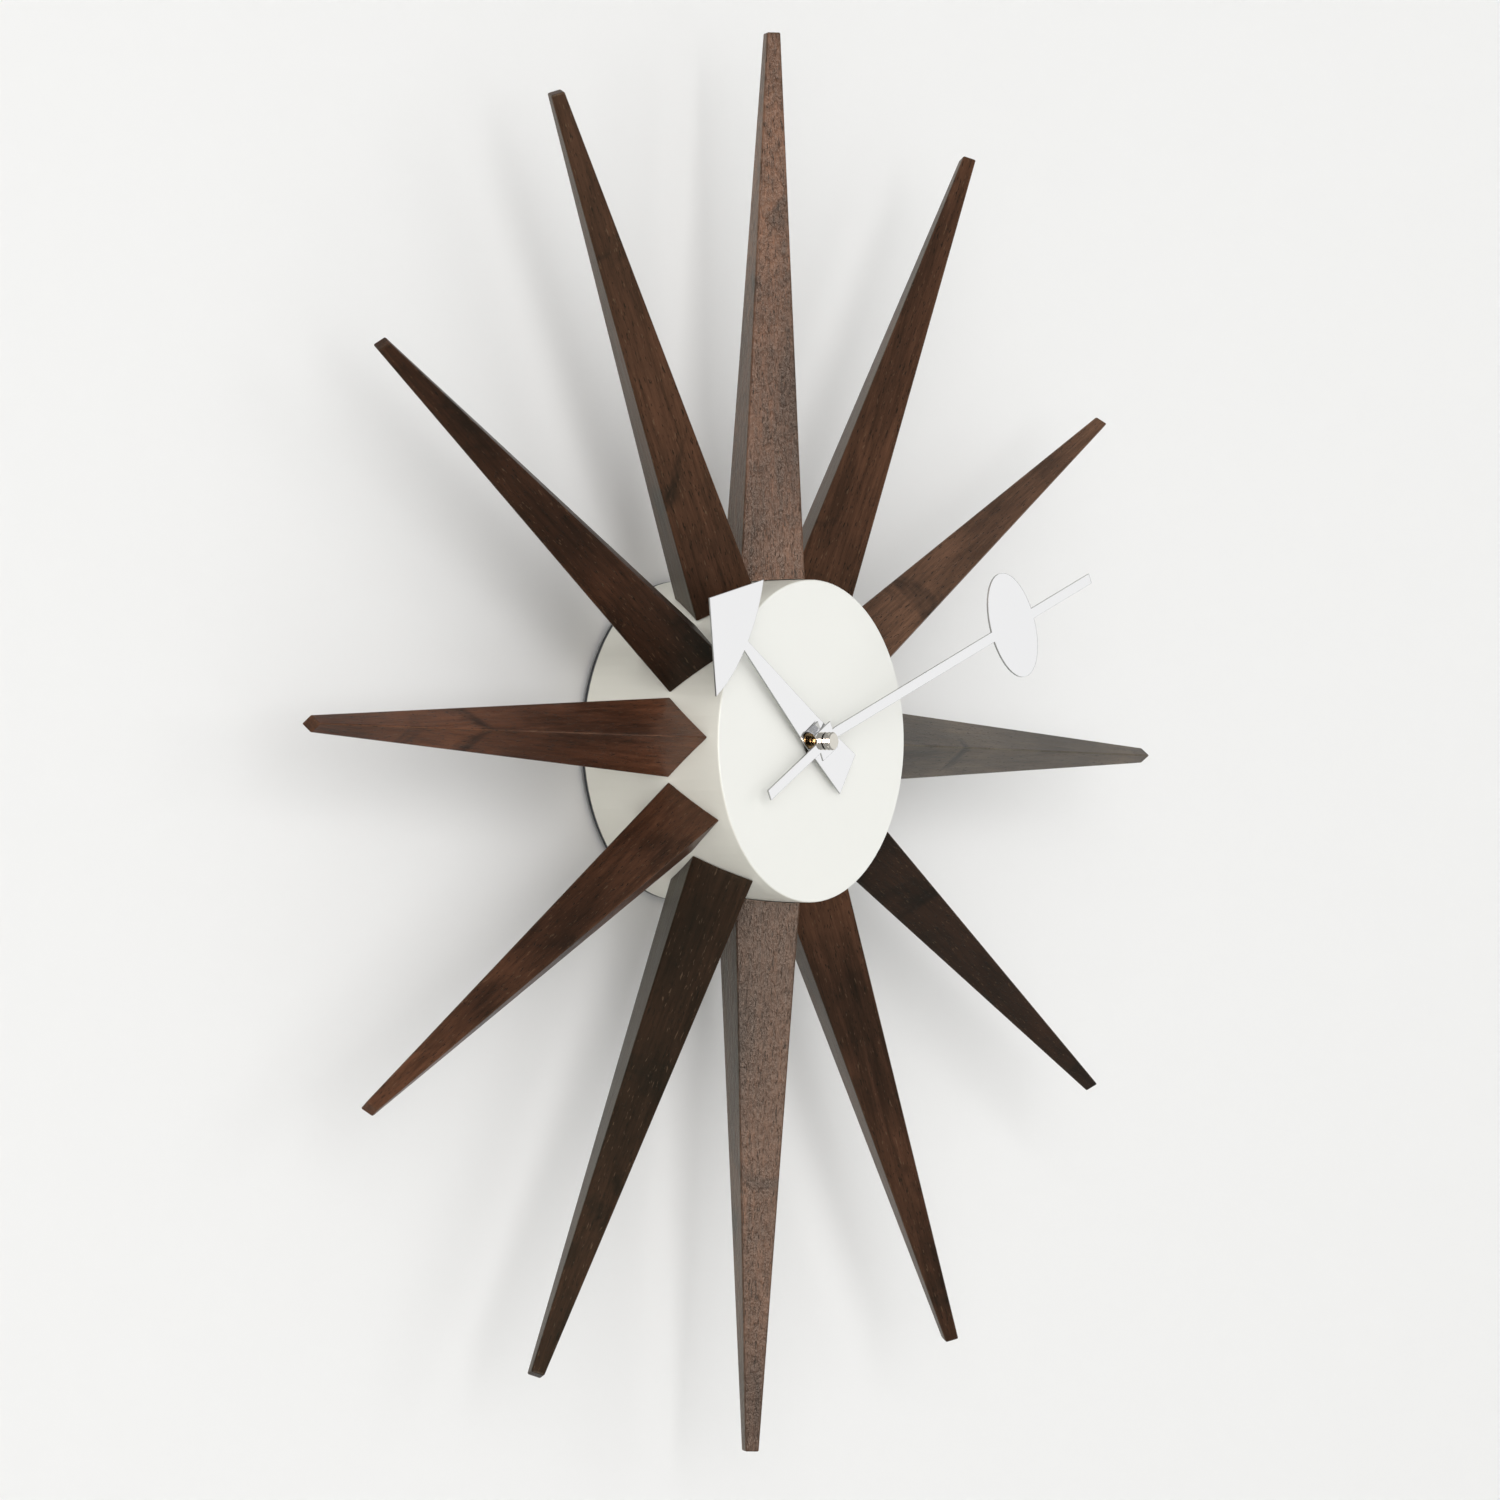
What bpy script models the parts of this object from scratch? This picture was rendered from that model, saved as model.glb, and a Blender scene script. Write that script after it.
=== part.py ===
"""Sunburst wall clock: a painted drum, twelve tapered walnut spikes and a battery movement.

Units are metres. +Z points to 12 o'clock, +X to 3 o'clock and the dial faces -Y. The wall is
the plane Y = 0, and the origin lies on the clock's axis. A turn that reads clockwise from the
front is a positive turn about +Y.
"""

import math

import bmesh
import bpy
from mathutils import Matrix

MM = 0.001
GAP = 0.3 * MM
SHARP_ANGLE = math.radians(30)

# Drum and spikes
DRUM_RADIUS = 53.2 * MM
DRUM_WALL = 1.2 * MM
DRUM_FRONT = -56.5 * MM
DRUM_REAR = -1.0 * MM
DRUM_EDGE = 0.6 * MM
DIAL_HOLE_RADIUS = 3.7 * MM
SPIKE_COUNT = 12
SPIKE_TIP = 235.0 * MM
SPIKE_AXIS_Y = -35.4 * MM
SPIKE_ROOT_WIDTH = 26.0 * MM
SPIKE_TIP_WIDTH = 5.5 * MM
SPIKE_DEPTH_RATIO = 1.295
SPIKE_EDGE = 0.5 * MM

# Wood screws, driven outwards from inside the drum
SCREW_SHANK = 1.9 * MM
SCREW_HEAD = 4.0 * MM
SCREW_HEAD_HEIGHT = 2.4 * MM
SCREW_LENGTH = 26.0 * MM
SCREW_CLEARANCE = 2.3 * MM

# Hanger strip
HANGER_WIDTH = 16.0 * MM
HANGER_THICKNESS = 1.5 * MM
HANGER_REACH = 51.0 * MM
HANGER_EAR_FRONT = -43.0 * MM
HANGER_BEND = 3.0 * MM
KEYHOLE_Z = 22.0 * MM
KEYHOLE_RADIUS = 4.6 * MM
KEYHOLE_SLOT_RADIUS = 2.3 * MM
KEYHOLE_SLOT_TOP = 32.0 * MM

# Movement case, seen from the dial inwards
CASE_HALF = 28.0 * MM
CASE_WALL = 1.2 * MM
CASE_FRONT = -54.0 * MM
CASE_REAR = -39.0 * MM
CASE_INNER_FRONT = CASE_FRONT + CASE_WALL
CASE_INNER = CASE_HALF - CASE_WALL
BAY_LEFT = 10.7 * MM
TRAIN_RIGHT = 9.9 * MM
PLATE_FRONT = -48.3 * MM
PLATE_REAR = -47.1 * MM
COVER_FRONT = -40.2 * MM
POST_RADIUS = 1.6 * MM
POST_INSET = 2.2 * MM

# Parts on the centre line
BUSH_RADIUS = 3.4 * MM
BUSH_BORE = 2.58 * MM
BUSH_FRONT = -58.6 * MM
BUSH_FLANGE = 6.0 * MM
HOUR_TUBE_RADIUS = 2.5 * MM
HOUR_TUBE_BORE = 1.58 * MM
HOUR_TUBE_FRONT = -60.0 * MM
ARBOR_RADIUS = 1.5 * MM
ARBOR_TIP_RADIUS = 1.2 * MM
ARBOR_SHOULDER = -61.15 * MM
ARBOR_FRONT = -63.3 * MM
ARBOR_REAR = -45.4 * MM

# Hands: sheet outlines in millimetres along and across the hand
HAND_SHEET = 0.5 * MM
HOUR_HAND_Y = -59.0 * MM
HOUR_HAND_ANGLE = -57.0
HOUR_HAND_LEAN = 3.0
HOUR_FOLD = 6.0 * MM
HOUR_TIP = 81.7 * MM
HOUR_HEAD_BASE = 59.4 * MM
HOUR_HEAD_HALF = 23.0 * MM
HOUR_NECK = 54.9 * MM
HOUR_NECK_HALF = 1.8 * MM
HOUR_TAIL = 19.4 * MM
HOUR_TAIL_HALF = 7.85 * MM
MINUTE_HAND_Y = -61.7 * MM
MINUTE_HAND_ANGLE = 60.0
MINUTE_HAND_LEAN = 19.4
MINUTE_FOLD = 6.2 * MM
MINUTE_HALF = 1.8 * MM
MINUTE_TAIL = 36.7 * MM
MINUTE_TIP = 121.0 * MM
MINUTE_HUB_HALF = 4.8 * MM
DISC_CENTRE = 85.5 * MM
DISC_ALONG = 9.0 * MM
DISC_ACROSS = 19.2 * MM
CAP_RADIUS = 3.0 * MM
CAP_REAR = -62.25 * MM
CAP_FRONT = -65.0 * MM

# Wheels: tooth counts, and centres as distance and angle from +X towards +Z
CANNON_TEETH = 10
MOTION_WHEEL_TEETH = 30
MOTION_PINION_TEETH = 8
HOUR_WHEEL_TEETH = 32
KNOB_TEETH = 10
CENTRE_TEETH = 45
THIRD_TEETH = 48
SECONDS_TEETH = 30
FIFTH_TEETH = 36
LEAVES = 6
MOTION_MODULE = 0.48 * MM
CENTRE_MODULE = 0.40 * MM
SECONDS_MODULE = 0.58 * MM
FIFTH_MODULE = 0.40 * MM
MOTION_DISTANCE = MOTION_MODULE * (CANNON_TEETH + MOTION_WHEEL_TEETH) / 2
KNOB_DISTANCE = MOTION_MODULE * (MOTION_WHEEL_TEETH + KNOB_TEETH) / 2
THIRD_DISTANCE = CENTRE_MODULE * (CENTRE_TEETH + LEAVES) / 2
THIRD_MODULE = 2 * THIRD_DISTANCE / (THIRD_TEETH + LEAVES)
FIFTH_DISTANCE = SECONDS_MODULE * (SECONDS_TEETH + LEAVES) / 2
ROTOR_DISTANCE = FIFTH_MODULE * (FIFTH_TEETH + LEAVES) / 2
MOTION_DIRECTION = math.radians(180)
KNOB_DIRECTION = math.radians(210)
THIRD_DIRECTION = math.radians(135)
FIFTH_DIRECTION = math.radians(270)
ROTOR_DIRECTION = math.radians(200)
ADDENDUM = 0.8
DEDENDUM = 1.2
TOOTH_TIP = 0.20
TOOTH_ROOT = 0.52
PIVOT_RADIUS = 0.45 * MM
PIVOT_HOLE = 0.53 * MM
RUNNING = 0.08 * MM
STAFF_RADIUS = 0.6 * MM
STAFF_FRONT = -46.8 * MM
STAFF_REAR = -40.5 * MM
PIVOT_FRONT = -48.0 * MM
PIVOT_REAR = -39.7 * MM
PIVOT_HOLE_REAR = -39.4 * MM
KNOB_STEM_RADIUS = 1.25 * MM
KNOB_RADIUS = 6.3 * MM
KNOB_FRONT = -38.6 * MM
KNOB_REAR = -34.0 * MM

# Motor, circuit and battery
ROTOR_HOLE = 3.1 * MM
ROTOR_RADIUS = 2.5 * MM
STATOR_FRONT = -45.6 * MM
STATOR_REAR = -44.8 * MM
COIL_Z = -22.0 * MM
COIL_Y = -44.1 * MM
COIL_RADIUS = 2.6 * MM
COIL_LEFT = -19.5 * MM
COIL_RIGHT = 3.5 * MM
BATTERY_X = 18.75 * MM
BATTERY_Y = -45.35 * MM
BATTERY_RADIUS = 7.1 * MM
BATTERY_BOTTOM = -24.9 * MM
BATTERY_TOP = 24.6 * MM
BATTERY_NUB_TOP = 25.6 * MM


def clear_scene():
    """Remove everything that a new file starts with."""
    for item in list(bpy.data.objects):
        bpy.data.objects.remove(item, do_unlink=True)


def new_collection(name):
    """Make a collection and hang it in the scene."""
    collection = bpy.data.collections.new(name)
    bpy.context.scene.collection.children.link(collection)
    return collection


clear_scene()
PARTS = new_collection("sunburst_wall_clock")
CUTTERS = new_collection("cutters")


def make_material(name, colour, roughness, metallic=0.0):
    """A Principled material in one plain colour."""
    material = bpy.data.materials.new(name)
    material.use_nodes = True
    shader = material.node_tree.nodes["Principled BSDF"]
    shader.inputs["Base Color"].default_value = (*colour, 1.0)
    shader.inputs["Roughness"].default_value = roughness
    shader.inputs["Metallic"].default_value = metallic
    material.diffuse_color = (*colour, 1.0)
    return material


def finish(piece, finish_of):
    """Give a piece a material of its own, with the named finish."""
    colour, roughness, metallic = FINISHES[finish_of]
    piece.data.materials.clear()
    piece.data.materials.append(make_material(piece.name, colour, roughness, metallic))
    return piece


FINISHES = {
    "white_paint": ((0.87, 0.87, 0.83), 0.45, 0.0),
    "walnut": ((0.09, 0.05, 0.035), 0.5, 0.0),
    "bright_metal": ((0.9, 0.9, 0.91), 0.08, 1.0),
    "chrome": ((0.8, 0.79, 0.77), 0.06, 1.0),
    "zinc": ((0.62, 0.62, 0.6), 0.35, 1.0),
    "steel": ((0.5, 0.5, 0.5), 0.4, 1.0),
    "brass": ((0.75, 0.55, 0.25), 0.3, 1.0),
    "copper": ((0.6, 0.28, 0.14), 0.35, 1.0),
    "black_plastic": ((0.03, 0.03, 0.03), 0.5, 0.0),
    "white_plastic": ((0.8, 0.8, 0.76), 0.45, 0.0),
    "rubber": ((0.04, 0.04, 0.04), 0.8, 0.0),
    "board": ((0.05, 0.2, 0.1), 0.5, 0.0),
    "battery_wrap": ((0.12, 0.13, 0.15), 0.35, 0.0),
}


def add_object(name, data, collection):
    """Link data as a named object."""
    piece = bpy.data.objects.new(name, data)
    collection.objects.link(piece)
    return piece


def bake(piece, weld=1e-6):
    """Swap a curve, or a mesh with modifiers, for the mesh that it makes."""
    bpy.context.view_layer.update()
    depsgraph = bpy.context.evaluated_depsgraph_get()
    mesh = bpy.data.meshes.new_from_object(piece.evaluated_get(depsgraph))
    work = bmesh.new()
    work.from_mesh(mesh)
    bmesh.ops.remove_doubles(work, verts=work.verts, dist=weld)
    bmesh.ops.recalc_face_normals(work, faces=work.faces)
    work.to_mesh(mesh)
    work.free()
    mesh.transform(piece.matrix_world)
    name = piece.name
    collection = piece.users_collection[0]
    bpy.data.objects.remove(piece, do_unlink=True)
    return add_object(name, mesh, collection)


def smooth(piece):
    """Shade round faces smooth and keep corners sharp."""
    piece.data.shade_smooth()
    piece.data.set_sharp_from_angle(angle=SHARP_ANGLE)
    return piece


def extruded(name, outlines, low, high, axis="Y", collection=PARTS):
    """Extrude flat outlines: (x, z) points along Y, or (y, z) points along X.

    The first outline is the edge, and any others are holes in it.
    """
    curve = bpy.data.curves.new(name, "CURVE")
    curve.dimensions = "2D"
    curve.fill_mode = "BOTH"
    curve.extrude = (high - low) / 2
    for outline in outlines:
        spline = curve.splines.new("POLY")
        spline.points.add(len(outline) - 1)
        for point, (across, up) in zip(spline.points, outline):
            point.co = (across, up, 0.0, 1.0)
        spline.use_cyclic_u = True
    piece = add_object(name, curve, collection)
    middle = (low + high) / 2
    if axis == "Y":
        turn = Matrix(((1, 0, 0), (0, 0, -1), (0, 1, 0)))
        place = Matrix.Translation((0, middle, 0))
    else:
        turn = Matrix(((0, 0, 1), (1, 0, 0), (0, 1, 0)))
        place = Matrix.Translation((middle, 0, 0))
    piece.matrix_world = place @ turn.to_4x4()
    return bake(piece)


def turned(name, profile, steps, collection=PARTS):
    """Turn a closed profile of (radius, y) points about the Y axis."""
    mesh = bpy.data.meshes.new(name)
    count = len(profile)
    edges = [(i, (i + 1) % count) for i in range(count)]
    edges = [(i, j) for i, j in edges if profile[i][0] > 0 or profile[j][0] > 0]
    mesh.from_pydata([(radius, y, 0.0) for radius, y in profile], edges, [])
    piece = add_object(name, mesh, collection)
    screw = piece.modifiers.new("turn", "SCREW")
    screw.axis = "Y"
    screw.steps = steps
    screw.render_steps = steps
    screw.use_merge_vertices = True
    screw.merge_threshold = 1e-6
    return bake(piece)


def ring(name, inner, outer, low, high, steps=32):
    """A flat ring about the Y axis."""
    return turned(name, [(inner, low), (outer, low), (outer, high), (inner, high)], steps)


def cylinder(name, radius, low, high, steps=16, collection=CUTTERS):
    """A solid cylinder about the Y axis from low to high."""
    mesh = bpy.data.meshes.new(name)
    work = bmesh.new()
    bmesh.ops.create_cone(work, cap_ends=True, segments=steps, radius1=radius, radius2=radius,
                          depth=high - low)
    work.to_mesh(mesh)
    work.free()
    lay_down = Matrix.Rotation(math.pi / 2, 4, "X")
    mesh.transform(Matrix.Translation((0, (low + high) / 2, 0)) @ lay_down)
    return add_object(name, mesh, collection)


def box(name, low, high, collection=PARTS):
    """A box between two corners."""
    mesh = bpy.data.meshes.new(name)
    work = bmesh.new()
    bmesh.ops.create_cube(work, size=1.0)
    sizes = [b - a for a, b in zip(low, high)]
    middle = [(a + b) / 2 for a, b in zip(low, high)]
    bmesh.ops.scale(work, vec=sizes, verts=work.verts)
    bmesh.ops.translate(work, vec=middle, verts=work.verts)
    work.to_mesh(mesh)
    work.free()
    return add_object(name, mesh, collection)


def combine(piece, tool, operation):
    """Cut a tool from a piece, or add it to the piece, with an exact Boolean."""
    if tool.name not in CUTTERS.objects:
        PARTS.objects.unlink(tool)
        CUTTERS.objects.link(tool)
    tool.hide_render = True
    tool.display_type = "WIRE"
    boolean = piece.modifiers.new(operation.lower(), "BOOLEAN")
    boolean.operation = operation
    boolean.solver = "EXACT"
    boolean.object = tool
    return piece


def cut(piece, tool):
    """Take the tool's shape out of the piece."""
    return combine(piece, tool, "DIFFERENCE")


def fuse(piece, tool):
    """Add the tool's shape to the piece."""
    return combine(piece, tool, "UNION")


def polar(distance, direction, start=(0.0, 0.0)):
    """A point in the dial's plane, as (x, z)."""
    return (start[0] + distance * math.cos(direction), start[1] + distance * math.sin(direction))


def circle(radius, steps=24):
    """A round outline."""
    return [polar(radius, math.tau * i / steps) for i in range(steps)]


def gear(teeth, module, phase):
    """A gear's outline, with one tooth centred at the phase angle."""
    root = module * (teeth / 2 - DEDENDUM)
    tip = module * (teeth / 2 + ADDENDUM)
    pitch = math.tau / teeth
    outline = []
    corners = ((root, -TOOTH_ROOT), (tip, -TOOTH_TIP), (tip, TOOTH_TIP), (root, TOOTH_ROOT))
    for tooth in range(teeth):
        middle = phase + tooth * pitch
        outline += [polar(radius, middle + offset * pitch / 2) for radius, offset in corners]
    return outline


def meshing_phase(teeth, phase, other_teeth, direction):
    """Phase of a second gear, which lies in a direction from the first and meshes with it."""
    return direction + math.pi + (math.pi - (phase - direction) * teeth) / other_teeth


MOTION_CENTRE = polar(MOTION_DISTANCE, MOTION_DIRECTION)
KNOB_CENTRE = polar(KNOB_DISTANCE, KNOB_DIRECTION, MOTION_CENTRE)
THIRD_CENTRE = polar(THIRD_DISTANCE, THIRD_DIRECTION)
FIFTH_CENTRE = polar(FIFTH_DISTANCE, FIFTH_DIRECTION)
ROTOR_CENTRE = polar(ROTOR_DISTANCE, ROTOR_DIRECTION, FIFTH_CENTRE)


def put(piece, centre):
    """Stand a piece, and the tools on it, on its own axis."""
    for item in [piece] + [m.object for m in piece.modifiers if m.type == "BOOLEAN"]:
        item.location.x = centre[0]
        item.location.z = centre[1]
    return piece


# Drum, spikes and their screws


def radial_cylinder(name, radius, start, end, steps=16):
    """A cylinder that points to 12 o'clock at the height of the spikes' axes."""
    rod = cylinder(name, radius, start, end, steps)
    rod.data.transform(Matrix.Translation((0, SPIKE_AXIS_Y, 0)) @ Matrix.Rotation(math.pi / 2, 4, "X"))
    return rod


def drum_housing():
    """The spun cup, open at the back, whose front is the dial."""
    inner = DRUM_RADIUS - DRUM_WALL
    edge_radius, edge_y = DRUM_RADIUS - DRUM_EDGE, DRUM_FRONT + DRUM_EDGE
    corner = [(edge_radius + DRUM_EDGE * math.cos(a), edge_y - DRUM_EDGE * math.sin(a))
              for a in (0, math.pi / 6, math.pi / 3, math.pi / 2)]
    profile = [(DRUM_RADIUS, DRUM_REAR)] + corner
    profile += [(DIAL_HOLE_RADIUS, DRUM_FRONT), (DIAL_HOLE_RADIUS, DRUM_FRONT + DRUM_WALL)]
    profile += [(inner, DRUM_FRONT + DRUM_WALL), (inner, DRUM_REAR)]
    drum = turned("drum_housing", profile, 96)
    holes = bpy.data.meshes.new("spike_screw_holes")
    work = bmesh.new()
    one = radial_cylinder("one_hole", SCREW_CLEARANCE, inner - 2 * MM, DRUM_RADIUS + 2 * MM, 12)
    for hour in range(SPIKE_COUNT):
        copy = one.data.copy()
        copy.transform(Matrix.Rotation(math.tau * hour / SPIKE_COUNT, 4, "Y"))
        work.from_mesh(copy)
    bpy.data.objects.remove(one, do_unlink=True)
    work.to_mesh(holes)
    work.free()
    cut(drum, add_object("spike_screw_holes", holes, CUTTERS))
    return finish(smooth(drum), "white_paint")


def spike_mesh():
    """A four-sided tapering spike with its root saddled to the drum."""
    start = DRUM_RADIUS - 8 * MM
    taper = (SPIKE_ROOT_WIDTH - SPIKE_TIP_WIDTH) / 2 / (SPIKE_TIP - DRUM_RADIUS)
    root_half = SPIKE_ROOT_WIDTH / 2 + taper * (DRUM_RADIUS - start)
    mesh = bpy.data.meshes.new("spike_blank")
    work = bmesh.new()
    bmesh.ops.create_cone(work, cap_ends=True, segments=4, radius1=root_half,
                          radius2=SPIKE_TIP_WIDTH / 2, depth=SPIKE_TIP - start)
    bmesh.ops.scale(work, vec=(1.0, SPIKE_DEPTH_RATIO, 1.0), verts=work.verts)
    bmesh.ops.translate(work, vec=(0, SPIKE_AXIS_Y, (start + SPIKE_TIP) / 2), verts=work.verts)
    work.to_mesh(mesh)
    work.free()
    blank = add_object("spike_blank", mesh, PARTS)
    bevel = blank.modifiers.new("eased_edges", "BEVEL")
    bevel.width = SPIKE_EDGE
    bevel.segments = 2
    bevel.limit_method = "ANGLE"
    bevel.angle_limit = math.radians(30)
    cut(blank, cylinder("drum_for_spikes", DRUM_RADIUS + GAP, -80 * MM, 20 * MM, 96))
    pilot_end = DRUM_RADIUS + SCREW_LENGTH + 1 * MM
    cut(blank, radial_cylinder("pilot_hole", SCREW_CLEARANCE, start - 2 * MM, pilot_end))
    blank = smooth(bake(blank))
    shape = blank.data
    bpy.data.objects.remove(blank, do_unlink=True)
    return shape


def screw_mesh():
    """A pan-head wood screw with a cross recess, pointing to 12 o'clock, head at the origin."""
    profile = [(0, 0), (SCREW_HEAD * 0.7, 0.2 * MM), (SCREW_HEAD, 1.0 * MM),
               (SCREW_HEAD, SCREW_HEAD_HEIGHT), (SCREW_SHANK, SCREW_HEAD_HEIGHT),
               (SCREW_SHANK, SCREW_LENGTH - 4 * MM), (0, SCREW_LENGTH)]
    blank = turned("screw_blank", profile, 16)
    reach = SCREW_HEAD * 0.6
    slot = 0.5 * MM
    deep = 1.4 * MM
    cut(blank, box("recess_a", (-reach, -1 * MM, -slot), (reach, deep, slot)))
    cut(blank, box("recess_b", (-slot, -1 * MM, -reach), (slot, deep, reach)))
    blank = bake(blank)
    shape = blank.data
    bpy.data.objects.remove(blank, do_unlink=True)
    shape.transform(Matrix.Rotation(math.pi / 2, 4, "X"))
    shape.shade_smooth()
    shape.set_sharp_from_angle(angle=SHARP_ANGLE)
    return shape


def spikes_and_screws():
    """Twelve spikes, one for each hour, and the screw that holds each of them."""
    spike_shape = spike_mesh()
    screw_shape = screw_mesh()
    inner = DRUM_RADIUS - DRUM_WALL
    for hour in range(SPIKE_COUNT):
        turn = math.tau * hour / SPIKE_COUNT
        number = hour or SPIKE_COUNT
        spike = add_object(f"spike_{number:02d}", spike_shape.copy(), PARTS)
        spike.rotation_euler.y = turn
        finish(spike, "walnut")
        seat = inner - GAP
        if number in (6, 12):
            seat = HANGER_REACH - HANGER_THICKNESS - GAP
        screw = add_object(f"spike_screw_{number:02d}", screw_shape.copy(), PARTS)
        start = seat - SCREW_HEAD_HEIGHT
        screw.location = (start * math.sin(turn), SPIKE_AXIS_Y, start * math.cos(turn))
        screw.rotation_euler.y = turn
        finish(screw, "zinc")


def hanger_bar():
    """A bent steel strip behind the drum, with ears under the 12 and 6 o'clock screws."""
    reach = HANGER_REACH
    thick = HANGER_THICKNESS
    bend = HANGER_BEND

    def corner(centre_z, radius, first, last, sign):
        angles = [first + (last - first) * i / 4 for i in range(5)]
        return [(-bend + radius * math.cos(a), sign * (centre_z + radius * math.sin(a))) for a in angles]

    quarter = math.pi / 2
    outer_top = corner(reach - bend, bend, 0, quarter, 1)
    outer_low = corner(reach - bend, bend, quarter, 0, -1)
    inner_top = corner(reach - bend, bend - thick, quarter, 0, 1)
    inner_low = corner(reach - bend, bend - thick, 0, quarter, -1)
    outline = outer_top + [(HANGER_EAR_FRONT, reach), (HANGER_EAR_FRONT, reach - thick)] + inner_top
    outline += inner_low + [(HANGER_EAR_FRONT, thick - reach), (HANGER_EAR_FRONT, -reach)] + outer_low
    bar = extruded("hanger_bar", [outline], -HANGER_WIDTH / 2, HANGER_WIDTH / 2, axis="X")
    below, above = -10 * MM, 10 * MM
    hole = cylinder("keyhole_round", KEYHOLE_RADIUS, below, above, 24)
    hole.location.z = KEYHOLE_Z
    cut(bar, hole)
    slot_end = cylinder("keyhole_end", KEYHOLE_SLOT_RADIUS, below, above, 16)
    slot_end.location.z = KEYHOLE_SLOT_TOP
    cut(bar, slot_end)
    slot = KEYHOLE_SLOT_RADIUS
    cut(bar, box("keyhole_slot", (-slot, below, KEYHOLE_Z), (slot, above, KEYHOLE_SLOT_TOP), CUTTERS))
    cut(bar, radial_cylinder("ear_holes", SCREW_CLEARANCE, -60 * MM, 60 * MM, 12))
    return finish(smooth(bar), "zinc")


# Movement case and its plates


def movement_front_case():
    """A square moulding with the wheels' room on one side and the battery bay on the other."""
    case = box("movement_front_case", (-CASE_HALF, CASE_FRONT, -CASE_HALF),
               (CASE_HALF, CASE_REAR, CASE_HALF))
    bevel = case.modifiers.new("round_corners", "BEVEL")
    bevel.width = 1.5 * MM
    bevel.segments = 2
    bevel.limit_method = "ANGLE"
    behind = CASE_REAR + 5 * MM
    inner = CASE_INNER
    cut(case, box("wheel_room", (-inner, CASE_INNER_FRONT, -inner), (TRAIN_RIGHT, behind, inner), CUTTERS))
    cut(case, box("battery_bay", (BAY_LEFT, CASE_INNER_FRONT, -inner), (inner, behind, inner), CUTTERS))
    cut(case, cylinder("bush_hole", BUSH_RADIUS + GAP, CASE_FRONT - 2 * MM, CASE_INNER_FRONT + 2 * MM, 32))
    for count, (x, z) in enumerate(post_places()):
        post = cylinder(f"case_post_{count}", POST_RADIUS, CASE_INNER_FRONT - 0.5 * MM,
                        PLATE_FRONT - GAP, 12)
        post.location = (x, 0, z)
        fuse(case, post)
    pits = [("motion_pit", MOTION_CENTRE, PIVOT_HOLE), ("knob_pit", KNOB_CENTRE, PIVOT_HOLE)]
    pivot_holes(case, CASE_INNER_FRONT - 0.7 * MM, CASE_INNER_FRONT + 1 * MM, pits)
    return finish(case, "black_plastic")


def post_places():
    """Where the four posts under the wheel plate stand."""
    low = -CASE_INNER + POST_INSET
    return [(x, z) for x in (low, TRAIN_RIGHT - POST_INSET) for z in (low, CASE_INNER - POST_INSET)]


def pivot_holes(plate, low, high, holes):
    """Drill round holes through, or into, a plate."""
    for name, centre, radius in holes:
        drill = cylinder(f"{plate.name}_{name}", radius, low, high, 20)
        drill.location = (centre[0], 0, centre[1])
        cut(plate, drill)


def gear_plate():
    """The plate that carries the front pivots of the time train."""
    low = -CASE_INNER + GAP
    outline = [(low, low), (TRAIN_RIGHT - GAP, low), (TRAIN_RIGHT - GAP, -low), (low, -low)]
    plate = extruded("gear_plate", [outline], PLATE_FRONT, PLATE_REAR)
    train = [("third", THIRD_CENTRE, PIVOT_HOLE), ("fifth", FIFTH_CENTRE, PIVOT_HOLE),
             ("rotor", ROTOR_CENTRE, PIVOT_HOLE), ("motion", MOTION_CENTRE, PIVOT_HOLE),
             ("arbor", (0, 0), ARBOR_RADIUS + RUNNING), ("stem", KNOB_CENTRE, KNOB_STEM_RADIUS + RUNNING)]
    pivot_holes(plate, PLATE_FRONT - 1 * MM, PLATE_REAR + 1 * MM, train)
    return finish(plate, "white_plastic")


def movement_rear_cover():
    """The snap-in cover over the wheels, with blind pivot holes on its inner face."""
    low = -CASE_INNER + GAP
    outline = [(low, low), (TRAIN_RIGHT - GAP, low), (TRAIN_RIGHT - GAP, -low), (low, -low)]
    cover = extruded("movement_rear_cover", [outline], COVER_FRONT, CASE_REAR)
    train = [("third", THIRD_CENTRE, PIVOT_HOLE), ("fifth", FIFTH_CENTRE, PIVOT_HOLE),
             ("rotor", ROTOR_CENTRE, PIVOT_HOLE), ("seconds", (0, 0), PIVOT_HOLE)]
    pivot_holes(cover, COVER_FRONT - 1 * MM, PIVOT_HOLE_REAR, train)
    stem = [("stem", KNOB_CENTRE, KNOB_STEM_RADIUS + RUNNING)]
    pivot_holes(cover, COVER_FRONT - 1 * MM, CASE_REAR + 1 * MM, stem)
    return finish(cover, "black_plastic")


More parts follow.
